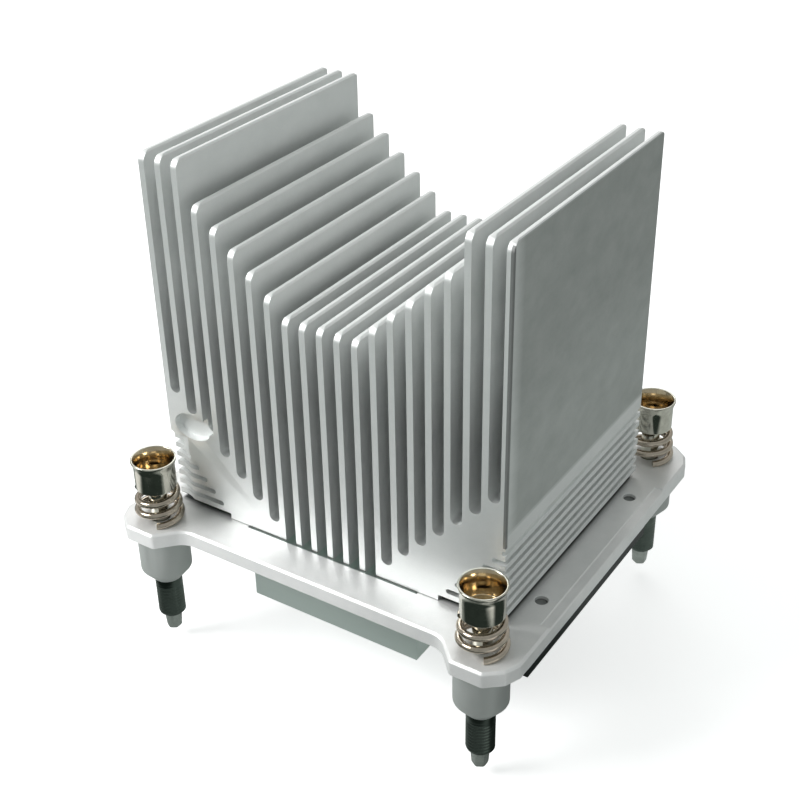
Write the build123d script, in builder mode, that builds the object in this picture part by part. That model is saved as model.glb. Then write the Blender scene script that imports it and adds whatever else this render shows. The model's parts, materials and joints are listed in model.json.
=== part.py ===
"""Passive server CPU heatsink: a finned extrusion, its cast frame and four sprung captive screws.

Millimetres, +Z up. The origin is the centre of the contact face under the extrusion, X runs across the
fins and Y along them, with the front at -Y.
"""

import math
import os

from build123d import *

os.makedirs("parts", exist_ok=True)

# Driving sizes: screw pattern, extrusion, frame
screw_spacing_x = 80.0
screw_spacing_y = 76.6
front_y = -31.3
back_y = 29.0
frame_top = 18.5
frame_thickness = 3.5
frame_bottom = frame_top - frame_thickness

corners = {
    "fl": (-screw_spacing_x / 2, -screw_spacing_y / 2),
    "fr": (screw_spacing_x / 2, -screw_spacing_y / 2),
    "bl": (-screw_spacing_x / 2, screw_spacing_y / 2),
    "br": (screw_spacing_x / 2, screw_spacing_y / 2),
}

# Extrusion section: fins, slots between them, side fins and foot
fin_count = 21
fin_pitch = 4.0
fin_thickness = 1.4
low_top = 71.9
top_step = 3.75
level_fins = 2
stepped_fins = 7
full_top = 99.0
tip_chamfer = 0.35
slot_width = fin_pitch - fin_thickness
slot_floor = 16.0
core_rise = 8.5
level_slots_x = 11.0
pedestal_half = 20.8
outer_x = (fin_count - 1) / 2 * fin_pitch + fin_thickness / 2
plate_gap = 1.4
side_slot_count = 7
side_slot_first = 21.8
side_slot_pitch = 2.33
side_slot_height = 1.15
side_slot_lean = 0.86
front_corner_round = 2.2
back_corner_round = 1.0
contact_edge = 0.5

# Ledge beside the pedestal, and the screws that hold the frame up to it
window_clearance = 0.4
frame_screw_r = 1.25
frame_screw_depth = 7.0
frame_screw_head_r = 2.1
frame_screw_head_height = 1.4
frame_screw_x = pedestal_half + window_clearance + frame_screw_head_r + 0.5
frame_screw_y = 20.0
foot_half = frame_screw_x + 2.2
side_slot_start = foot_half + 1.8

# Recess milled in the front left corner, and the clearance for the screw's cup under it
recess_x = 6.3 - outer_x
recess_z = 39.1
recess_half_width = 4.7
recess_half_height = 3.1
recess_depth = 1.6
scallop_r = 8.0
scallop_top = 36.0


def fin_top(number):
    """Height of a fin's tip, counted outwards from the middle fin."""
    if number <= level_fins:
        return low_top
    if number <= stepped_fins:
        return low_top + top_step * (number - level_fins)
    return full_top


fin_numbers = range(-(fin_count // 2), fin_count // 2 + 1)
slot_centres = [(number + 0.5) * fin_pitch for number in fin_numbers[:-1]]


def slot_bottom(x):
    """Height of the round bottom of the slot centred at x."""
    return slot_floor if abs(x) < level_slots_x else abs(x) + core_rise


# Tools that round the front and back corners of each level of fin tips
with BuildPart() as corner_trims:
    for number in range(level_fins, stepped_fins + 2):
        top = fin_top(number)
        outer_half = (number + 0.5) * fin_pitch if top < full_top else outer_x + 1
        inner_half = 0 if number == level_fins else (number - 0.5) * fin_pitch
        for side in (-1, 1):
            with BuildSketch(Plane.YZ.offset(side * inner_half)):
                for y, way, radius in ((front_y, 1, front_corner_round), (back_y, -1, back_corner_round)):
                    with Locations((y + way * radius / 2, top - radius / 2)):
                        Rectangle(radius, radius)
                    with Locations((y + way * radius, top - radius)):
                        Circle(radius, mode=Mode.SUBTRACT)
            extrude(amount=side * (outer_half - inner_half))

with BuildPart() as heatsink_extrusion:
    with BuildSketch(Plane.XZ.offset(-back_y)) as section:
        with BuildLine():
            Polyline(
                (-pedestal_half, 0),
                (pedestal_half, 0),
                (pedestal_half, frame_top),
                (foot_half, frame_top),
                (foot_half, frame_top + plate_gap),
                (outer_x, frame_top + plate_gap),
                (outer_x, full_top),
                (-outer_x, full_top),
                (-outer_x, frame_top + plate_gap),
                (-foot_half, frame_top + plate_gap),
                (-foot_half, frame_top),
                (-pedestal_half, frame_top),
                close=True,
            )
        make_face()
        short_fins = [n for n in fin_numbers if fin_top(abs(n)) < full_top]
        with Locations([(n * fin_pitch, fin_top(abs(n))) for n in short_fins]):
            Rectangle(fin_pitch, full_top, align=(Align.CENTER, Align.MIN), mode=Mode.SUBTRACT)
        with Locations([(x, slot_bottom(x) + slot_width / 2) for x in slot_centres]):
            Circle(slot_width / 2, mode=Mode.SUBTRACT)
            Rectangle(slot_width, full_top, align=(Align.CENTER, Align.MIN), mode=Mode.SUBTRACT)
        side_starts = [
            (side * (side_slot_start + (side_slot_lean * row + 0.25) * side_slot_pitch), row)
            for row in range(side_slot_count)
            for side in (-1, 1)
        ]
        side_places = [(x, side_slot_first + row * side_slot_pitch) for x, row in side_starts]
        with Locations(side_places):
            Circle(side_slot_height / 2, mode=Mode.SUBTRACT)
        with Locations([(x + (outer_x if x > 0 else -outer_x) / 2, z) for x, z in side_places]):
            Rectangle(outer_x, side_slot_height, mode=Mode.SUBTRACT)
        tips = [v for v in section.vertices() if v.Y > low_top - 0.01]
        chamfer(tips, tip_chamfer)
    extrude(amount=back_y - front_y)
    add(corner_trims.part, mode=Mode.SUBTRACT)

    with BuildSketch(Plane.XZ.offset(-front_y)):
        with Locations((recess_x, recess_z)):
            Ellipse(recess_half_width, recess_half_height)
    extrude(amount=-recess_depth, mode=Mode.SUBTRACT)
    with Locations((*corners["fl"], frame_top)):
        Cylinder(
            scallop_r,
            scallop_top - frame_top,
            align=(Align.CENTER, Align.CENTER, Align.MIN),
            mode=Mode.SUBTRACT,
        )
    with Locations((0, 0, frame_top)):
        with GridLocations(2 * frame_screw_x, 2 * frame_screw_y, 2, 2):
            Cylinder(
                frame_screw_r,
                frame_screw_depth,
                align=(Align.CENTER, Align.CENTER, Align.MIN),
                mode=Mode.SUBTRACT,
            )
    chamfer(heatsink_extrusion.faces().sort_by(Axis.Z)[0].edges(), contact_edge)

# Frame outline, window, lobes, bosses and lips; a lobe's points are set out from its screw
frame_half_y = screw_spacing_y / 2 + 1.7
lobe_neck = (screw_spacing_x / 2 - 8.1, frame_half_y)
lobe_steps = [(-3.3, 6.8), (3.8, 6.8), (7.3, 3.9), (8.7, 0.6)]
lobe = [lobe_neck] + [(screw_spacing_x / 2 + x, screw_spacing_y / 2 + y) for x, y in lobe_steps]
frame_half_x = lobe[-1][0]
lobe_neck_r = 5.0
lobe_corner_r = 1.2
frame_bevel = 0.5
boss_r = 5.6
boss_end_r = 3.2
boss_cylinder_end = 5.6
boss_end = 2.6
stem_bore_r = 2.2
step_x = frame_half_x - 2.2
step_depth = 0.25
step_half_y = 27.0
lip_top = frame_bottom
lip_bottom = 12.9
lip_thickness = 2.0
lip_length = 53.0
lip_shift = 9.5
mark_x = frame_half_x - 5.45
mark_y = 20.5
mark_r = 1.35
mark_depth = 1.0

with BuildPart() as mounting_frame:
    with BuildSketch(Plane.XY.offset(frame_bottom)) as outline:
        with BuildLine():
            Polyline(
                *lobe,
                *[(x, -y) for x, y in reversed(lobe)],
                *[(-x, -y) for x, y in lobe],
                *[(-x, y) for x, y in reversed(lobe)],
                close=True,
            )
        make_face()
        necks = [v for v in outline.vertices() if abs(v.Y) < frame_half_y + 0.01 and abs(v.X) < lobe[1][0]]
        fillet(necks, lobe_neck_r)
        facets = [v for v in outline.vertices() if abs(v.X) > lobe[1][0] - 0.01 and abs(v.Y) > lobe[-1][1] - 0.01]
        fillet(facets, lobe_corner_r)
    extrude(amount=frame_thickness)
    rim = mounting_frame.faces().sort_by(Axis.Z)[-1].outer_wire().edges()
    chamfer(rim, frame_bevel)
    with BuildSketch(Plane.XY.offset(frame_bottom)):
        with Locations((0, (front_y + back_y) / 2)):
            Rectangle(2 * (pedestal_half + window_clearance), back_y - front_y + 2 * window_clearance)
    extrude(amount=frame_thickness, mode=Mode.SUBTRACT)
    with BuildSketch(Plane.XY.offset(frame_bottom)):
        with GridLocations(screw_spacing_x, screw_spacing_y, 2, 2):
            Circle(boss_r)
    extrude(amount=boss_cylinder_end - frame_bottom)
    with GridLocations(screw_spacing_x, screw_spacing_y, 2, 2):
        with Locations((0, 0, boss_end)):
            Cone(boss_end_r, boss_r, boss_cylinder_end - boss_end, align=(Align.CENTER, Align.CENTER, Align.MIN))
    for side in (-1, 1):
        with BuildSketch(Plane.XY.offset(lip_bottom)):
            with Locations((side * (frame_half_x - lip_thickness / 2), -side * lip_shift)):
                Rectangle(lip_thickness, lip_length)
        extrude(amount=lip_top - lip_bottom)
        with BuildSketch(Plane.XY.offset(frame_top)):
            with Locations((side * (step_x + frame_half_x) / 2, 0)):
                Rectangle(frame_half_x - step_x, 2 * step_half_y)
        extrude(amount=-step_depth, mode=Mode.SUBTRACT)
    with BuildSketch(Plane.XY.offset(frame_top)):
        with GridLocations(2 * mark_x, 2 * mark_y, 2, 2):
            Circle(mark_r)
    extrude(amount=-mark_depth, mode=Mode.SUBTRACT)
    with BuildSketch(Plane.XY.offset(frame_top)):
        with GridLocations(screw_spacing_x, screw_spacing_y, 2, 2):
            Circle(stem_bore_r)
        with GridLocations(2 * frame_screw_x, 2 * frame_screw_y, 2, 2):
            Circle(frame_screw_r + 0.2)
    extrude(amount=boss_end - frame_top, mode=Mode.SUBTRACT)

# Spring between the frame and the cup
wire_r = 0.75
wire_sides = 8
chords_per_turn = 12
spring_turns = 2.75
spring_pitch = 2.6
spring_grind = 0.3
spring_start = -57.0
spring_base_r = 4.7
spring_top_r = 4.0
spring_bottom = frame_top
cup_bottom = spring_bottom + spring_turns * spring_pitch + 2 * (wire_r - spring_grind)

# Cup, stem and shaft of a captive screw
cup_rim = 33.5
cup_rim_r = 4.85
cup_body_r = 4.4
cup_bore_r = 3.7
cup_floor = 28.0
cup_flare_height = 1.6
cup_lip = 0.4
stem_r = 2.0
socket_across = 2.5
socket_floor = 25.0
leg_r = 3.0
leg_end = -7.7
leg_chamfer = 0.6
point_r = 2.0
point_end_r = 1.7
point_end_chamfer = 0.3
point_end = -12.0


def coil_points(corner):
    """Centre line of the tapering wire coil over one corner's boss, a few chords to a turn."""
    count = round(spring_turns * chords_per_turn)
    points = []
    for i in range(count + 1):
        angle = math.radians(spring_start) + 2 * math.pi * i / chords_per_turn
        radius = spring_base_r + (spring_top_r - spring_base_r) * i / count
        height = spring_bottom + wire_r - spring_grind + spring_pitch * i / chords_per_turn
        points.append((corner[0] + radius * math.cos(angle), corner[1] + radius * math.sin(angle), height))
    return points


def turned(corner, profile):
    """Revolves a half profile of (radius, height) points about the screw axis of one corner."""
    with BuildPart() as body:
        with BuildSketch(Plane.XZ.offset(-corner[1])):
            with BuildLine():
                Polyline(*[(corner[0] + radius, height) for radius, height in profile], close=True)
            make_face()
        revolve(axis=Axis((corner[0], corner[1], 0), (0, 0, 1)))
    return body


screw_parts = []
for corner_name, corner in corners.items():
    cup_blank = turned(
        corner,
        [
            (0, cup_floor),
            (cup_bore_r, cup_floor),
            (cup_bore_r, cup_rim - cup_flare_height),
            (cup_rim_r - cup_lip, cup_rim),
            (cup_rim_r, cup_rim),
            (cup_rim_r, cup_rim - cup_lip),
            (cup_body_r, cup_rim - cup_flare_height),
            (cup_body_r, cup_bottom),
            (stem_r, cup_bottom),
            (stem_r, boss_end),
            (0, boss_end),
        ],
    )
    with BuildPart() as cup:
        add(cup_blank.part)
        with BuildSketch(Plane.XY.offset(cup_floor)):
            with Locations(corner):
                RegularPolygon(socket_across / 2, 6, major_radius=False)
        extrude(amount=socket_floor - cup_floor, mode=Mode.SUBTRACT)
    shaft = turned(
        corner,
        [
            (0, boss_end),
            (leg_r, boss_end),
            (leg_r, leg_end + leg_chamfer),
            (leg_r - leg_chamfer, leg_end),
            (point_r, leg_end),
            (point_end_r, point_end + point_end_chamfer),
            (point_end_r - point_end_chamfer, point_end),
            (0, point_end),
        ],
    )
    with BuildPart() as spring:
        with BuildLine() as path:
            Polyline(*coil_points(corner))
        with BuildSketch(Plane(origin=path.line @ 0, z_dir=path.line % 0)):
            RegularPolygon(wire_r, wire_sides)
        sweep(path=path.line, transition=Transition.RIGHT)
        with Locations((*corner, spring_bottom)):
            Cylinder(boss_r, wire_r, align=(Align.CENTER, Align.CENTER, Align.MAX), mode=Mode.SUBTRACT)
        with Locations((*corner, cup_bottom)):
            Cylinder(boss_r, wire_r, align=(Align.CENTER, Align.CENTER, Align.MIN), mode=Mode.SUBTRACT)
    cup.part.label = f"screw_cup_{corner_name}"
    shaft.part.label = f"screw_shaft_{corner_name}"
    spring.part.label = f"screw_spring_{corner_name}"
    screw_parts += [cup, shaft, spring]

frame_screws = []
for screw_name, x, y in (
    ("left_front", -frame_screw_x, -frame_screw_y),
    ("right_front", frame_screw_x, -frame_screw_y),
    ("left_back", -frame_screw_x, frame_screw_y),
    ("right_back", frame_screw_x, frame_screw_y),
):
    with BuildPart() as frame_screw:
        with Locations((x, y, frame_bottom)):
            Cylinder(
                frame_screw_head_r,
                frame_screw_head_height,
                align=(Align.CENTER, Align.CENTER, Align.MAX),
            )
            Cylinder(
                frame_screw_r,
                frame_thickness + frame_screw_depth - 0.5,
                align=(Align.CENTER, Align.CENTER, Align.MIN),
            )
        with BuildSketch(Plane.XY.offset(frame_bottom - frame_screw_head_height)):
            with Locations((x, y)):
                RegularPolygon(1.0, 6, major_radius=False)
        extrude(amount=0.9, mode=Mode.SUBTRACT)
    frame_screw.part.label = f"frame_screw_{screw_name}"
    frame_screws.append(frame_screw)

heatsink_extrusion.part.label = "heatsink_extrusion"
mounting_frame.part.label = "mounting_frame"
for piece in [heatsink_extrusion, mounting_frame, *screw_parts, *frame_screws]:
    export_step(piece.part, f"parts/{piece.part.label}.step")
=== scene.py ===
import json
import math

import bmesh
import bpy
import numpy as np
from mathutils import Matrix, Vector


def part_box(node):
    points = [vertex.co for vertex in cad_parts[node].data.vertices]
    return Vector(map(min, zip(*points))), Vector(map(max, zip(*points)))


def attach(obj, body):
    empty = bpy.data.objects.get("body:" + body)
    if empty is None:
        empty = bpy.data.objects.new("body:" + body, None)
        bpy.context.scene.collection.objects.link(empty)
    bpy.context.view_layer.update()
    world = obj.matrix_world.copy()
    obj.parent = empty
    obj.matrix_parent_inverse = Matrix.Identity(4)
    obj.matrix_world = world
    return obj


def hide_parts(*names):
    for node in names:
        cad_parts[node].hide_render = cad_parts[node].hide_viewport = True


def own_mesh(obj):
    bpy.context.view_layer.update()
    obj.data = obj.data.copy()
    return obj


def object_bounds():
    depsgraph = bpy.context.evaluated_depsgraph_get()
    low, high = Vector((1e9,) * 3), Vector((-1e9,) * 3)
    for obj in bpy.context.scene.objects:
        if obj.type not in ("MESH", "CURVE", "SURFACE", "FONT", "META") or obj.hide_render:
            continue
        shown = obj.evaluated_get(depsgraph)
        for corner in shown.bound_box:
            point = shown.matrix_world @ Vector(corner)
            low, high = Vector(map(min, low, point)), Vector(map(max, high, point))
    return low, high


# Passive server CPU heatsink dressed over its solids. Metres, +Z up, front at -Y.
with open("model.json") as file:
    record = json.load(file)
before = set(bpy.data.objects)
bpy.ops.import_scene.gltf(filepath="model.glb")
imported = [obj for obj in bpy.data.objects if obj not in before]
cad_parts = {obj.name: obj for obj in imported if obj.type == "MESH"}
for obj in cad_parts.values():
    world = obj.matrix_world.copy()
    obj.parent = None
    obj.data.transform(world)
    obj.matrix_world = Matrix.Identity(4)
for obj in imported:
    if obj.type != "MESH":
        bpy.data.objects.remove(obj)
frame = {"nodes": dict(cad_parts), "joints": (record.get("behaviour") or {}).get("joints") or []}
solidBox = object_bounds()
nodes = frame["nodes"]
slideTravels = {j["name"]: j["range_m"][1] for j in frame["joints"] if j["name"].startswith("screw_slide")}
print("frame loaded")


# An object for a mesh, lamp or camera, linked to the scene
def linkedObject(name, data):
    piece = bpy.data.objects.new(name, data)
    bpy.context.scene.collection.objects.link(piece)
    return piece


def newMaterial(name):
    material = bpy.data.materials.new(name)
    material.use_nodes = True
    tree = material.node_tree
    return material, tree, tree.nodes["Principled BSDF"]


# One number worked out from two, each a number or a socket
def reckon(tree, operation, a, b=0.0, clamp=False):
    node = tree.nodes.new("ShaderNodeMath")
    node.operation = operation
    node.use_clamp = clamp
    for socket, value in zip(node.inputs, (a, b)):
        if isinstance(value, (int, float)):
            socket.default_value = value
        else:
            tree.links.new(value, socket)
    return node.outputs[0]


# Numbers and sockets multiplied from the left
def product(tree, *factors):
    result = factors[0]
    for factor in factors[1:]:
        result = reckon(tree, "MULTIPLY", result, factor)
    return result


# A value times a gain, plus an offset
def scaled(tree, value, gain, offset):
    return reckon(tree, "ADD", reckon(tree, "MULTIPLY", value, gain), offset)


def isAbove(tree, value, edge):
    return reckon(tree, "GREATER_THAN", value, edge)


def isBelow(tree, value, edge):
    return reckon(tree, "LESS_THAN", value, edge)


# 0 below the edge and 1 above it, with a soft step as wide as given
def softStep(tree, value, edge, width):
    return reckon(tree, "MULTIPLY", reckon(tree, "SUBTRACT", value, edge - width / 2), 1 / width, clamp=True)


# 1 below the edge and 0 above it, as softly
def softDrop(tree, value, edge, width):
    return softStep(tree, reckon(tree, "MULTIPLY", value, -1.0), -edge, width)


# A colour picked along (place, colour) stops
def colourRamp(tree, value, stops):
    node = tree.nodes.new("ShaderNodeValToRGB")
    elements = node.color_ramp.elements
    while len(elements) > 1:
        elements.remove(elements[-1])
    for number, (place, colour) in enumerate(stops):
        element = elements[0] if number == 0 else elements.new(place)
        element.position = place
        element.color = (*colour, 1)
    tree.links.new(value, node.inputs["Fac"])
    return node.outputs["Color"]


# A blend of two colours, each a triple or a socket
def blendColours(tree, share, first, second):
    node = tree.nodes.new("ShaderNodeMix")
    node.data_type = "RGBA"
    tree.links.new(share, node.inputs["Factor"])
    for socket, value in ((node.inputs["A"], first), (node.inputs["B"], second)):
        if isinstance(value, tuple):
            socket.default_value = (*value, 1)
        else:
            tree.links.new(value, socket)
    return node.outputs["Result"]


# Noise on the piece's own place in millimetres, stretched per axis
def grainNoise(tree, scale, stretch=(1, 1, 1), detail=4.0, roughness=0.55):
    place = tree.nodes.new("ShaderNodeTexCoord")
    mapping = tree.nodes.new("ShaderNodeMapping")
    mapping.inputs["Scale"].default_value = [1000 * s for s in stretch]
    texture = tree.nodes.new("ShaderNodeTexNoise")
    texture.inputs["Scale"].default_value = scale
    texture.inputs["Detail"].default_value = detail
    texture.inputs["Roughness"].default_value = roughness
    tree.links.new(place.outputs["Object"], mapping.inputs["Vector"])
    tree.links.new(mapping.outputs["Vector"], texture.inputs["Vector"])
    return texture.outputs["Fac"]


# The piece's own x, y and z
def ownPlace(tree):
    place = tree.nodes.new("ShaderNodeTexCoord")
    axes = tree.nodes.new("ShaderNodeSeparateXYZ")
    tree.links.new(place.outputs["Object"], axes.inputs["Vector"])
    return tuple(axes.outputs)


# Colour, roughness and relief into a metal's shader. The reliefs are (height, (strength, distance)), and
# each lies over the one before.
def connectMetal(tree, shader, colour, metallic, roughness, reliefs):
    tree.links.new(colour, shader.inputs["Base Color"])
    shader.inputs["Metallic"].default_value = metallic
    tree.links.new(roughness, shader.inputs["Roughness"])
    target = shader.inputs["Normal"]
    for height, (strength, distance) in reversed(reliefs):
        node = tree.nodes.new("ShaderNodeBump")
        node.inputs["Strength"].default_value = strength
        node.inputs["Distance"].default_value = distance
        tree.links.new(height, node.inputs["Height"])
        tree.links.new(node.outputs["Normal"], target)
        target = node.inputs["Normal"]


extrusionFinish = {
    "metallic": 0.85,
    "roughness": 0.36,
    "grainRoughness": 0.16,
    "fieldRoughness": 0.06,
    "tipRoughness": 0.20,
    "ridgeRoughness": 0.26,
    "dieLines": {"scale": 1.0, "stretch": (6.0, 0.05, 6.0), "detail": 3},
    "grain": {"scale": 2.2, "detail": 5, "roughness": 0.7},
    "clouds": {"scale": 0.16, "stretch": (1, 1, 1.6), "detail": 4},
    "dieRelief": (0.25, 0.00004),
    "grainRelief": (0.18, 0.00006),
    "cloudShare": 0.5,
    "grainShare": 0.35,
    "toneEnds": (0.25, 0.62),
    "paleColours": ((0.84, 0.858, 0.85), (0.91, 0.922, 0.915)),
    "dullColours": ((0.43, 0.455, 0.44), (0.555, 0.575, 0.56)),
    "footShadeColour": (0.76, 0.85, 0.81),
    "shadedColour": (0.015, 0.018, 0.017),
    "outerFace": 0.04055,
    "borderWidth": 0.0027,
    "borderFade": 0.0030,
    "borderShare": 0.50,
    "ridgesTop": 0.0398,
    "ridgesTopFade": 0.0011,
    "ridgesFrom": 0.030,
    "tipsFrom": 0.065,
    "tipsFade": 0.018,
    "cutDepth": 0.0002,
    "plateUnderside": 0.0200,
    "undersideFade": 0.0001,
    "ledgeHalf": 0.0262,
    "ledgeFade": 0.0004,
    "footTop": 0.0184,
    "jointShadeTop": 0.01875,
    "jointShadeShare": 0.6,
    "cornerSide": 0.0401,
    "cornerWidth": 0.0006,
    "cornerFrom": 0.0370,
    "cornerShadeShare": 0.66,
}


# Bare extruded aluminium with die lines along Y and fine grain. The outer faces are duller inside a pale
# front border, and the foot below the frame top is painted a darker, greener grey as shade under the frame.
# Painted shade darkens the undersides of the lowest plates, the joint line over the frame and the right front
# corner's edge. Behind the cut front face, fin tips and ridges are rougher.
def extrusionMetal():
    s = extrusionFinish
    material, tree, shader = newMaterial("extrudedAluminium")
    front = float(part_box("heatsink_extrusion")[0][1])
    dieLines, grain, clouds = (grainNoise(tree, **s[key]) for key in ("dieLines", "grain", "clouds"))
    right, along, height = ownPlace(tree)
    across = reckon(tree, "ABSOLUTE", right)

    inward = softStep(tree, along, front + s["borderWidth"], s["borderFade"])
    inward = scaled(tree, inward, 1 - s["borderShare"], s["borderShare"])
    overRidges = softStep(tree, height, s["ridgesTop"], s["ridgesTopFade"])
    field = product(tree, isAbove(tree, across, s["outerFace"]), inward, overRidges)
    tone = scaled(tree, clouds, s["cloudShare"], product(tree, grain, s["grainShare"]))
    pale = colourRamp(tree, tone, zip(s["toneEnds"], s["paleColours"]))
    dull = colourRamp(tree, tone, zip(s["toneEnds"], s["dullColours"]))
    colour = blendColours(tree, field, pale, dull)
    # Painted shade: below the frame top the foot takes a darker, greener grey for the shade under the frame
    colour = blendColours(tree, isBelow(tree, height, s["footTop"]), colour, s["footShadeColour"])

    # Painted shade: a thin dark band on the front face just above the frame top, for the shadow in the joint
    jointShade = product(
        tree,
        isBelow(tree, height, s["jointShadeTop"]),
        isAbove(tree, height, s["footTop"]),
        isBelow(tree, along, front + s["cutDepth"]),
        s["jointShadeShare"],
    )
    # Painted shade: a dark strip along the right front corner's edge in the upper fins
    corner = product(
        tree,
        isAbove(tree, right, s["cornerSide"]),
        s["cornerShadeShare"],
        isBelow(tree, along, front + s["cornerWidth"]),
        isAbove(tree, height, s["cornerFrom"]),
    )
    # Painted shade under the lowest plates, outside the ledge
    underside = product(
        tree,
        softDrop(tree, height, s["plateUnderside"], s["undersideFade"]),
        softStep(tree, across, s["ledgeHalf"], s["ledgeFade"]),
    )
    # The joint, corner and underside masks lay the painted shaded colour over the metal
    for share in (reckon(tree, "MAXIMUM", jointShade, corner), underside):
        colour = blendColours(tree, share, colour, s["shadedColour"])

    tips = product(tree, softStep(tree, height, s["tipsFrom"], s["tipsFade"]), s["tipRoughness"])
    ridges = product(
        tree,
        isBelow(tree, height, s["ridgesTop"]),
        s["ridgeRoughness"],
        isAbove(tree, across, s["ridgesFrom"]),
    )
    behindCut = isAbove(tree, along, front + s["cutDepth"])
    rougher = product(tree, behindCut, reckon(tree, "MAXIMUM", tips, ridges))
    roughness = scaled(tree, grain, s["grainRoughness"], product(tree, field, s["fieldRoughness"]))
    roughness = reckon(tree, "ADD", reckon(tree, "ADD", roughness, rougher), s["roughness"])
    reliefs = [(dieLines, s["dieRelief"]), (grain, s["grainRelief"])]
    connectMetal(tree, shader, colour, s["metallic"], roughness, reliefs)
    return material


frameFinish = {
    "metallic": 0.45,
    "roughness": 0.40,
    "grainRoughness": 0.15,
    "grain": {"scale": 3.5, "detail": 4, "roughness": 0.7},
    "clouds": {"scale": 0.16, "detail": 4},
    "grainRelief": (0.22, 0.00008),
    "cloudRelief": (0.15, 0.0003),
    "cloudShare": 0.6,
    "grainShare": 0.3,
    "toneEnds": (0.25, 0.62),
    "colours": ((0.82, 0.825, 0.82), (0.94, 0.935, 0.93)),
    "shadedColour": (0.06, 0.065, 0.062),
    "sideMargin": 0.0004,
    "sideFade": 0.0006,
    "endMargin": 0.0008,
    "endFade": 0.0012,
    "slotHalf": 0.0215,
    "slotReach": 0.0060,
    "plateThickness": 0.0035,
    "lipShadeColour": (0.018, 0.022, 0.02),
    "lipStart": 0.0466,
    "lipFade": 0.0001,
    "bossGap": 0.0002,
    "bossShadeShare": 0.70,
    "bossShade": (0.30, 0.335, 0.315),
    "markSpan": (0.0417, 0.0448),
    "markFade": 0.0001,
    "markReach": 0.0220,
    "markFloor": 0.0178,
    "markDepth": 0.0006,
    "markShadeColour": (0.26, 0.27, 0.265),
}


# Pale die casting with fine grain and soft flow clouds. Painted shade makes it dark where the extrusion
# covers it, greyer on the bosses and in the four round marks, and black on the lips under its two long edges.
def castMetal():
    s = frameFinish
    material, tree, shader = newMaterial("castAluminium")
    coverLow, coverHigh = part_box("heatsink_extrusion")
    underside = float(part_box("mounting_frame")[1][2]) - s["plateThickness"]
    grain, clouds = (grainNoise(tree, **s[key]) for key in ("grain", "clouds"))
    right, along, height = ownPlace(tree)
    across = reckon(tree, "ABSOLUTE", right)

    # Light comes in through the middle slots, so the cover starts farther back there
    slotShift = product(tree, isBelow(tree, across, s["slotHalf"]), s["slotReach"])
    shifted = reckon(tree, "SUBTRACT", along, slotShift)
    # Painted shade on the frame top under the extrusion's plates
    coverShade = product(
        tree,
        softDrop(tree, across, float(coverHigh[0]) - s["sideMargin"], s["sideFade"]),
        softStep(tree, shifted, float(coverLow[1]) + s["endMargin"], s["endFade"]),
        softDrop(tree, along, float(coverHigh[1]) - s["endMargin"], s["endFade"]),
    )
    # Painted shade: the lips under the two long edges are near black
    lip = product(tree, softStep(tree, across, s["lipStart"], s["lipFade"]), isBelow(tree, height, underside))
    # Painted shade: the bosses under the frame are greyed
    boss = product(tree, isBelow(tree, height, underside - s["bossGap"]), s["bossShadeShare"])
    # Painted shade: the floors of the four round pits are darker grey
    mark = product(
        tree,
        softStep(tree, across, s["markSpan"][0], s["markFade"]),
        isBelow(tree, across, s["markSpan"][1]),
        isBelow(tree, reckon(tree, "ABSOLUTE", along), s["markReach"]),
        isBelow(tree, height, s["markFloor"]),
        isAbove(tree, height, s["markFloor"] - s["markDepth"]),
    )

    tone = scaled(tree, clouds, s["cloudShare"], product(tree, grain, s["grainShare"]))
    colour = colourRamp(tree, tone, zip(s["toneEnds"], s["colours"]))
    layers = [(boss, "bossShade"), (coverShade, "shadedColour"), (mark, "markShadeColour"), (lip, "lipShadeColour")]
    for share, key in layers:
        colour = blendColours(tree, share, colour, s[key])
    roughness = scaled(tree, grain, s["grainRoughness"], s["roughness"])
    reliefs = [(grain, s["grainRelief"]), (clouds, s["cloudRelief"])]
    connectMetal(tree, shader, colour, s["metallic"], roughness, reliefs)
    return material


turnedFinish = {
    "metallic": 1.0,
    "rings": {"scale": 1.0, "stretch": (0.1, 0.1, 9.0), "detail": 2},
    "stains": {"scale": 0.6, "detail": 3},
    "stainEnds": (0.3, 0.65),
    "stainShade": 0.8,
    "stainRoughness": 0.08,
    "ringRelief": (0.12, 0.00003),
}


# Bright or dark metal with faint turning marks and a few soft stains
def turnedMetal(name, colour, roughness):
    s = turnedFinish
    material, tree, shader = newMaterial(name)
    rings, stains = (grainNoise(tree, **s[key]) for key in ("rings", "stains"))
    darker = tuple(s["stainShade"] * c for c in colour)
    stained = colourRamp(tree, stains, zip(s["stainEnds"], (darker, colour)))
    uneven = scaled(tree, stains, s["stainRoughness"], roughness)
    connectMetal(tree, shader, stained, s["metallic"], uneven, [(rings, s["ringRelief"])])
    return material


extrudedAluminium = extrusionMetal()
castAluminium = castMetal()
nickelPlate = turnedMetal("nickelPlate", (0.68, 0.665, 0.58), 0.07)
goldenPlate = turnedMetal("goldenPlate", (0.70, 0.59, 0.41), 0.10)
springWire = turnedMetal("springWire", (0.60, 0.53, 0.44), 0.10)
darkSteel = turnedMetal("darkSteel", (0.13, 0.16, 0.14), 0.20)
pointSteel = turnedMetal("pointSteel", (0.50, 0.53, 0.50), 0.14)
zincSteel = turnedMetal("zincSteel", (0.55, 0.56, 0.56), 0.30)
print("materials made")

edges = {
    "mergeDistance": 0.000002,
    "flatDegrees": 0.6,
    "edgeDegrees": 32,
    "segments": 2,
    "extrusionBevel": 0.00014,
    "frameBevel": 0.0002,
    "frameScrewBevel": 0.00008,
}


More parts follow.
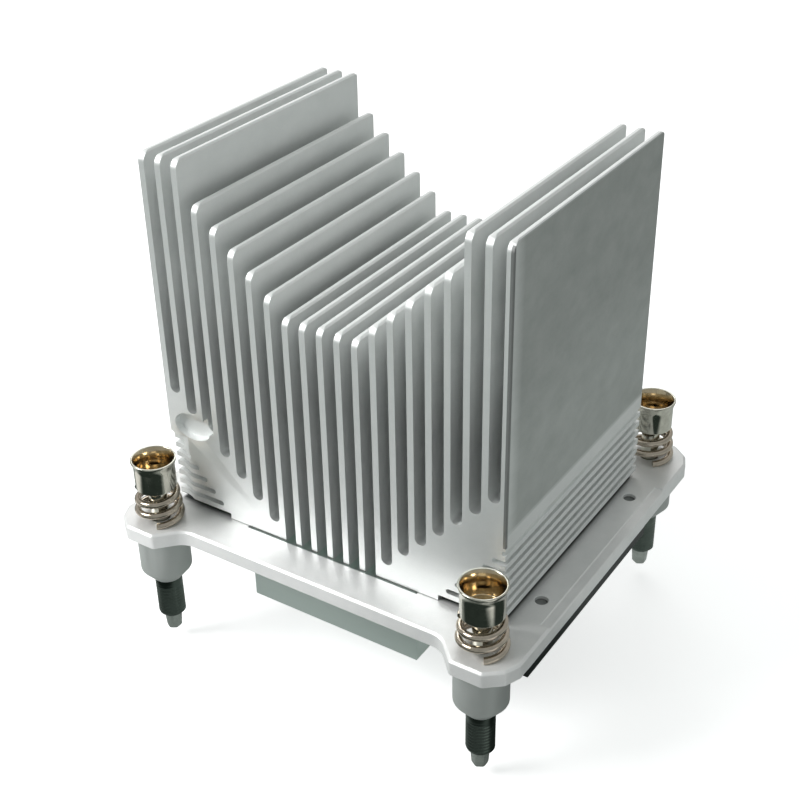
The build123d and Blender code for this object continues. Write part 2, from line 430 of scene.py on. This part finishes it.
# A copy of a solid with its loose triangles merged, its flat faces joined and its edges softened
def finishedCopy(node, name, material, bevelWidth):
    s = edges
    mesh = nodes[node].data.copy()
    work = bmesh.new()
    work.from_mesh(mesh)
    bmesh.ops.remove_doubles(work, verts=work.verts, dist=s["mergeDistance"])
    flat = math.radians(s["flatDegrees"])
    bmesh.ops.dissolve_limit(work, angle_limit=flat, verts=work.verts, edges=work.edges)
    work.to_mesh(mesh)
    work.free()
    mesh.name = name
    piece = linkedObject(name, mesh)
    mesh.materials.clear()
    mesh.materials.append(material)
    mesh.shade_smooth()
    mesh.set_sharp_from_angle(angle=math.radians(s["edgeDegrees"]))
    bevel = piece.modifiers.new("softEdges", "BEVEL")
    bevel.width = bevelWidth
    bevel.segments = s["segments"]
    bevel.limit_method = "ANGLE"
    bevel.angle_limit = math.radians(s["edgeDegrees"])
    bevel.harden_normals = True
    bevel.use_clamp_overlap = True
    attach(piece, "heatsink")
    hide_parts(node)


# A closed surface from a grid of points: quads join neighbours, the second index runs round and meets
# itself, and each open end gets a face. Points in one place, as at a pole, are merged.
def gridPiece(name, points, materials, rowMaterial=None, sharpDegrees=50, mergeDistance=0.0000005):
    rows, around = points.shape[:2]
    first, j = np.meshgrid(around * np.arange(rows - 1), np.arange(around), indexing="ij")
    second, beside = first + around, (j + 1) % around
    quads = np.stack([first + j, first + beside, second + beside, second + j], -1)
    ends = [list(range(around)), list(range((rows - 1) * around, rows * around))]
    mesh = bpy.data.meshes.new(name)
    mesh.from_pydata(points.reshape(-1, 3).tolist(), [], quads.reshape(-1, 4).tolist() + ends)
    for material in materials:
        mesh.materials.append(material)
    if rowMaterial is not None:
        perFace = np.concatenate([np.repeat(rowMaterial[:-1], around), rowMaterial[[0, -1]]])
        mesh.polygons.foreach_set("material_index", perFace.astype(np.int32))
    work = bmesh.new()
    work.from_mesh(mesh)
    bmesh.ops.remove_doubles(work, verts=work.verts, dist=mergeDistance)
    bmesh.ops.recalc_face_normals(work, faces=work.faces)
    work.to_mesh(mesh)
    work.free()
    mesh.shade_smooth()
    mesh.set_sharp_from_angle(angle=math.radians(sharpDegrees))
    return linkedObject(name, mesh)


# An outline through (radius, height, rounding) corners: a corner is cut back along both its sides by its
# rounding, and a parabola joins the two cuts
def roundedOutline(corners, steps=4):
    rows = []
    share = np.linspace(0, 1, steps + 1)[:, None]
    for before, here, after in zip(corners[:1] + corners[:-1], corners, corners[1:] + corners[-1:]):
        spot = np.array(here[:2])
        if here[2] == 0:
            rows.append(spot[None])
            continue
        sides = (np.array(neighbour[:2]) - spot for neighbour in (before, after))
        start, end = (spot + here[2] * side / np.linalg.norm(side) for side in sides)
        rows.append((1 - share) ** 2 * start + 2 * share * (1 - share) * spot + share**2 * end)
    return np.concatenate(rows)


# Middle of a corner's screw seen from above
def screwAxis(corner):
    low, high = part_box(f"screw_shaft_{corner}")
    return float(low[0] + high[0]) / 2, float(low[1] + high[1]) / 2


# Points round an axis: a radius, a height and an angle for each row and column
def pointsRound(axis, radius, height, angle):
    radius, height = np.broadcast_arrays(radius, height)
    return np.stack([axis[0] + radius * np.cos(angle), axis[1] + radius * np.sin(angle), height], -1)


finishedCopy("heatsink_extrusion", "fineExtrusion", extrudedAluminium, edges["extrusionBevel"])
finishedCopy("mounting_frame", "fineFrame", castAluminium, edges["frameBevel"])
for name in nodes:
    if name.startswith("frame_screw"):
        finishedCopy(name, f"fine_{name}", zincSteel, edges["frameScrewBevel"])
print("extrusion, frame and frame screws dressed")

spring = {
    "turns": 2.75,
    "startDegrees": -57.0,
    "wireRadius": 0.00075,
    "baseRadius": 0.0047,
    "topRadius": 0.0040,
    "ground": 0.0003,
    "gap": 0.00002,
    "stepsPerTurn": 60,
    "wireSteps": 18,
}


# Coil: the wire's middle climbs evenly while its turns tighten. A circle stands across the wire all
# along, and both ends are ground flat, just clear of the frame and the cup.
def makeSpring(corner):
    s = spring
    low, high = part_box(f"screw_spring_{corner}")
    base, top = float(low[2]) + s["gap"], float(high[2]) - s["gap"]
    axis = screwAxis(corner)
    share = np.linspace(0, 1, round(s["turns"] * s["stepsPerTurn"]) + 1)[:, None]
    turn = math.radians(s["startDegrees"]) + 2 * math.pi * s["turns"] * share
    middle = s["baseRadius"] + (s["topRadius"] - s["baseRadius"]) * share
    lift = s["wireRadius"] - s["ground"]
    climb = base + lift + (top - base - 2 * lift) * share
    aroundWire = np.linspace(0, 2 * math.pi, s["wireSteps"], endpoint=False)
    radius = middle + s["wireRadius"] * np.cos(aroundWire)
    height = np.clip(climb + s["wireRadius"] * np.sin(aroundWire), base, top)
    points = pointsRound(axis, radius, height, turn)
    piece = gridPiece(f"coilSpring_{corner}", points, [springWire])
    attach(piece, "heatsink")
    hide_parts(f"screw_spring_{corner}")
    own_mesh(piece)


cup = {
    "bodyRadius": 0.0044,
    "bodyRounding": 0.00025,
    "flareHeight": 0.0016,
    "flareRounding": 0.0006,
    "lip": 0.0004,
    "lipRoundings": (0.00012, 0.00018, 0.00012),
    "boreRadius": 0.0037,
    "boreFloor": 0.0280,
    "floorRounding": 0.0003,
    "floorMargin": 0.0004,
    "stemRadius": 0.0020,
    "socketAcross": 0.0025,
    "socketFloor": 0.0250,
    "sharpDegrees": 40,
    "steps": 96,
}


# Cup: a rounded outline turned about the screw's axis, up the outside and down the bore. In the floor the
# turn goes over to a hexagon, whose radius is its half width over the cosine of the angle from its flat.
# The bore and its floor are golden.
def makeCup(corner):
    s = cup
    low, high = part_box(f"screw_cup_{corner}")
    rimRadius = float(high[0] - low[0]) / 2
    foot, rim = float(low[2]), float(high[2])
    bodyEnd = float(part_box(f"screw_spring_{corner}")[1][2])
    outside = roundedOutline([
        (0.0, foot, 0.0),
        (s["stemRadius"], foot, 0.0),
        (s["stemRadius"], bodyEnd, 0.0),
        (s["bodyRadius"], bodyEnd, s["bodyRounding"]),
        (s["bodyRadius"], rim - s["flareHeight"], s["flareRounding"]),
        (rimRadius, rim - s["lip"], s["lipRoundings"][0]),
        (rimRadius, rim, s["lipRoundings"][1]),
        (rimRadius - s["lip"], rim, s["lipRoundings"][2]),
        (s["boreRadius"], rim - s["flareHeight"], 0.0),
    ])
    inside = roundedOutline([
        (s["boreRadius"], s["boreFloor"] + s["floorMargin"], 0.0),
        (s["boreRadius"], s["boreFloor"], s["floorRounding"]),
        (s["boreRadius"] - s["floorMargin"], s["boreFloor"], 0.0),
    ])
    angle = np.linspace(0, 2 * math.pi, s["steps"], endpoint=False)
    fromFlat = np.mod(angle, math.pi / 3) - math.pi / 6
    hexagon = s["socketAcross"] / 2 / np.cos(fromFlat)
    turned = np.concatenate([outside, inside])
    radius = np.concatenate([np.repeat(turned[:, :1], s["steps"], 1), [hexagon, hexagon, 0 * hexagon]])
    height = np.concatenate([turned[:, 1], [s["boreFloor"], s["socketFloor"], s["socketFloor"]]])
    golden = (np.arange(len(height)) >= len(outside) - 2).astype(int)
    points = pointsRound(screwAxis(corner), radius, height[:, None], angle)
    name = f"screwCup_{corner}"
    piece = gridPiece(name, points, [nickelPlate, goldenPlate], golden, s["sharpDegrees"])
    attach(piece, f"screw_{corner}")
    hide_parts(f"screw_cup_{corner}")


leg = {
    "topRounding": 0.00015,
    "chamfer": 0.0006,
    "endHeight": -0.0077,
    "endRounding": 0.0001,
    "pointRadius": 0.0020,
    "pointEndRadius": 0.0017,
    "pointRounding": 0.0002,
    "pointChamfer": 0.0003,
    "pointFlats": 6,
    "flatDepth": 0.10,
    "plainLength": 0.0014,
    "threadPitch": 0.0008,
    "threadDepth": 0.00012,
    "runOutPitches": 1.5,
    "rowsPerPitch": 10,
    "rowGap": 0.0001,
    "steps": 48,
}


# Leg: a turned outline whose threaded stretch loses up to the thread's depth, by a raised cosine of the
# height less the angle's share of the pitch. Flats on the point pull its radius in midway between edges.
def makeLeg(corner):
    s = leg
    low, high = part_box(f"screw_shaft_{corner}")
    fullRadius = float(high[0] - low[0]) / 2
    tip, top = float(low[2]), float(high[2])
    threadTop, threadEnd = top - s["plainLength"], s["endHeight"] + s["chamfer"]
    threadRows = round((threadTop - threadEnd) / s["threadPitch"] * s["rowsPerPitch"])
    threadHeights = np.linspace(threadTop, threadEnd, threadRows)
    above = roundedOutline([
        (0.0, top, 0.0),
        (fullRadius, top, s["topRounding"]),
        (fullRadius, threadTop + s["rowGap"], 0.0),
    ])
    below = roundedOutline([
        (fullRadius - s["threadDepth"], threadEnd - s["rowGap"] / 2, 0.0),
        (fullRadius - s["chamfer"], s["endHeight"], s["endRounding"]),
        (s["pointRadius"], s["endHeight"], 0.0),
        (s["pointRadius"], s["endHeight"] - s["rowGap"], 0.0),
        (s["pointEndRadius"], tip + s["pointChamfer"], s["pointRounding"]),
        (s["pointEndRadius"] - s["pointChamfer"], tip, s["endRounding"]),
        (0.0, tip, 0.0),
    ])
    threaded = np.stack([np.full_like(threadHeights, fullRadius), threadHeights], -1)
    radius, height = np.split(np.concatenate([above, threaded, below]), 2, axis=1)
    angle = np.linspace(0, 2 * math.pi, s["steps"], endpoint=False)
    onThread = (height <= threadTop) & (height >= threadEnd)
    runOut = np.clip((threadTop - height) / (s["runOutPitches"] * s["threadPitch"]), 0, 1) * onThread
    wave = 0.5 - 0.5 * np.cos(2 * math.pi * height / s["threadPitch"] - angle)
    onPoint = height < s["endHeight"] - s["rowGap"] / 2
    flats = s["flatDepth"] * np.abs(np.cos(s["pointFlats"] / 2 * angle))
    radius = (radius - s["threadDepth"] * runOut * wave) * (1 - onPoint * flats)
    points = pointsRound(screwAxis(corner), radius, height, angle)
    name = f"screwLeg_{corner}"
    piece = gridPiece(name, points, [darkSteel, pointSteel], onPoint[:, 0].astype(int))
    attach(piece, f"screw_{corner}")
    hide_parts(f"screw_shaft_{corner}")


for corner in ("fl", "fr", "bl", "br"):
    makeSpring(corner)
    makeCup(corner)
    makeLeg(corner)
print("springs, cups and legs made")

room = {
    "backdrop": (1.0, 1.0, 1.0),
    "roomLight": (0.42, 0.45, 0.44),
    "dimLight": (0.37, 0.385, 0.38),
    "wallLight": (0.52, 0.52, 0.51),
    "wallDirection": (-0.50, 0.70, 0.50),
    "wallEdge": 0.35,
    "wallFade": 0.9,
}


# Whether a ray comes from the camera, and whether it is a mirrored or transmitted one
def raysOf(tree):
    path = tree.nodes.new("ShaderNodeLightPath")
    mirrored = reckon(tree, "MAXIMUM", path.outputs["Is Glossy Ray"], path.outputs["Is Transmission Ray"])
    return path.outputs["Is Camera Ray"], mirrored


# Room: white to the camera, grey as light. Bright metal sees it paler behind and to the left than in front.
def makeRoom():
    s = room
    world = bpy.data.worlds.new("room")
    bpy.context.scene.world = world
    world.use_nodes = True
    tree = world.node_tree
    tree.nodes.clear()
    output = tree.nodes.new("ShaderNodeOutputWorld")
    background = tree.nodes.new("ShaderNodeBackground")
    place = tree.nodes.new("ShaderNodeTexCoord")
    towards = tree.nodes.new("ShaderNodeVectorMath")
    towards.operation = "DOT_PRODUCT"
    towards.inputs[1].default_value = Vector(s["wallDirection"]).normalized()
    tree.links.new(place.outputs["Generated"], towards.inputs[0])
    wall = softStep(tree, towards.outputs["Value"], s["wallEdge"], s["wallFade"])
    seen, mirrored = raysOf(tree)
    mirror = blendColours(tree, wall, s["dimLight"], s["wallLight"])
    colour = blendColours(tree, mirrored, s["roomLight"], mirror)
    colour = blendColours(tree, seen, colour, s["backdrop"])
    tree.links.new(colour, background.inputs["Color"])
    tree.links.new(background.outputs["Background"], output.inputs["Surface"])


floor = {
    "size": 6.0,
    "gap": 0.00005,
    "middle": (0.33, 0.36, 0.345),
    "right": (0.46, 0.49, 0.475),
    "rightFrom": 0.04,
    "rightFade": 0.06,
    "pale": (1.0, 1.0, 0.99),
    "palePatches": [((-0.600, -0.105), (-0.088, -0.035)), ((0.088, -0.105), (0.600, -0.045))],
    "dark": (0.03, 0.04, 0.035),
    "darkPatches": [((-0.082, -0.112), (0.082, -0.050)), ((0.040, -0.042), (0.125, 0.013))],
    "patchFade": 0.014,
    "glow": 0.62,
    "albedo": (0.8, 0.8, 0.8),
}


def mixShaders(tree, share, first, second):
    node = tree.nodes.new("ShaderNodeMixShader")
    tree.links.new(share, node.inputs["Fac"])
    tree.links.new(first, node.inputs[1])
    tree.links.new(second, node.inputs[2])
    return node.outputs[0]


# Floor: just under the screws' lowest reach, and white to the camera apart from the object's shadow.
# To mirrored rays it shows a painted reflection: grey, lighter on the right, with painted white pools of
# light in front on both sides and painted dark patches in front and under the right side.
def makeFloor():
    s = floor
    half = s["size"] / 2
    ground = float(solidBox[0][2]) - max(slideTravels.values()) - s["gap"]
    mesh = bpy.data.meshes.new("floor")
    corners = [(-half, -half, ground), (half, -half, ground), (half, half, ground), (-half, half, ground)]
    mesh.from_pydata(corners, [], [(0, 1, 2, 3)])
    material, tree, shader = newMaterial("paleFloor")
    tree.nodes.remove(shader)
    x, y = ownPlace(tree)[:2]
    tone = blendColours(tree, softStep(tree, x, s["rightFrom"], s["rightFade"]), s["middle"], s["right"])
    # Painted pools of light and painted dark patches, seen only in mirrored rays
    for shade in ("pale", "dark"):
        for low, high in s[f"{shade}Patches"]:
            inside = 1.0
            for value, lowEnd, highEnd in zip((x, y), low, high):
                start = softStep(tree, value, lowEnd, s["patchFade"])
                inside = product(tree, inside, start, softDrop(tree, value, highEnd, s["patchFade"]))
            tone = blendColours(tree, inside, tone, s[shade])
    mirrorGlow = tree.nodes.new("ShaderNodeEmission")
    tree.links.new(tone, mirrorGlow.inputs["Color"])
    cameraGlow = tree.nodes.new("ShaderNodeEmission")
    cameraGlow.inputs["Strength"].default_value = s["glow"]
    paper = tree.nodes.new("ShaderNodeBsdfDiffuse")
    paper.inputs["Color"].default_value = (*s["albedo"], 1)
    cameraLook = tree.nodes.new("ShaderNodeAddShader")
    tree.links.new(cameraGlow.outputs[0], cameraLook.inputs[0])
    tree.links.new(paper.outputs[0], cameraLook.inputs[1])
    seen, mirrored = raysOf(tree)
    look = mixShaders(tree, mirrored, paper.outputs[0], mirrorGlow.outputs[0])
    look = mixShaders(tree, seen, look, cameraLook.outputs[0])
    tree.links.new(look, tree.nodes["Material Output"].inputs["Surface"])
    mesh.materials.append(material)
    linkedObject("floor", mesh)


lamps = {
    "lowFront": {
        "place": (-0.048, -0.076, -0.0105),
        "aim": (-0.048, -0.076, 0.1),
        "size": (0.088, 0.028),
        "watts": 0.0075,
        "lit": ["fineExtrusion", "fineFrame"],
    },
    "keyFrontLeft": {
        "place": (-0.55, -0.50, 0.60),
        "aim": (0.0, -0.02, 0.03),
        "size": (0.45, 0.35),
        "watts": 6.0,
    },
    "backLeftTop": {
        "place": (-0.40, 0.60, 0.70),
        "aim": (0.0, 0.0, 0.05),
        "size": (0.6, 0.4),
        "watts": 1.4,
    },
}


# Lamps that the camera doesn't see. One with a "lit" list lights only those pieces.
def makeLamps():
    for name, s in lamps.items():
        lamp = bpy.data.lights.new(name, "AREA")
        lamp.shape = "RECTANGLE"
        lamp.size, lamp.size_y = s["size"]
        lamp.energy = s["watts"]
        holder = linkedObject(name, lamp)
        holder.location = s["place"]
        holder.rotation_mode = "QUATERNION"
        holder.rotation_quaternion = (Vector(s["aim"]) - Vector(s["place"])).to_track_quat("-Z", "Y")
        holder.visible_camera = False
        if "lit" in s:
            lit = bpy.data.collections.new(f"{name}Lit")
            for piece in s["lit"]:
                lit.objects.link(bpy.data.objects[piece])
            holder.light_linking.receiver_collection = lit


makeRoom()
makeFloor()
makeLamps()
print("room, floor and lamps set")

view = {
    "azimuth": 33.346,
    "elevation": 31.229,
    "roll": -1.110,
    "distance": 0.285286,
    "aim": (0.0, 0.0, 0.0545),
    "slideRight": -0.001993,
    "slideUp": -0.012078,
    "focalPixels": 1366.088,
    "picturePixels": 800,
    "sensor": 36.0,
    "clipStart": 0.01,
}


# Camera on the line from the aim towards azimuth and elevation, rolled, then slid sideways and up
def placeCamera():
    s = view
    azimuth, elevation, roll = (math.radians(s[key]) for key in ("azimuth", "elevation", "roll"))
    out = math.cos(elevation)
    back = Vector((math.sin(azimuth) * out, -math.cos(azimuth) * out, math.sin(elevation)))
    level = Vector((math.cos(azimuth), math.sin(azimuth), 0))
    upright = back.cross(level)
    right = level * math.cos(roll) + upright * math.sin(roll)
    up = upright * math.cos(roll) - level * math.sin(roll)
    data = bpy.data.cameras.new("photoCamera")
    data.sensor_width = s["sensor"]
    data.lens = s["focalPixels"] * s["sensor"] / s["picturePixels"]
    data.clip_start = s["clipStart"]
    camera = linkedObject("photoCamera", data)
    camera.matrix_world = Matrix((right, up, back)).transposed().to_4x4()
    camera.location = Vector(s["aim"]) + back * s["distance"] + right * s["slideRight"] + up * s["slideUp"]
    bpy.context.scene.camera = camera


placeCamera()
bpy.context.scene.view_settings.view_transform = "Standard"
print("camera placed")
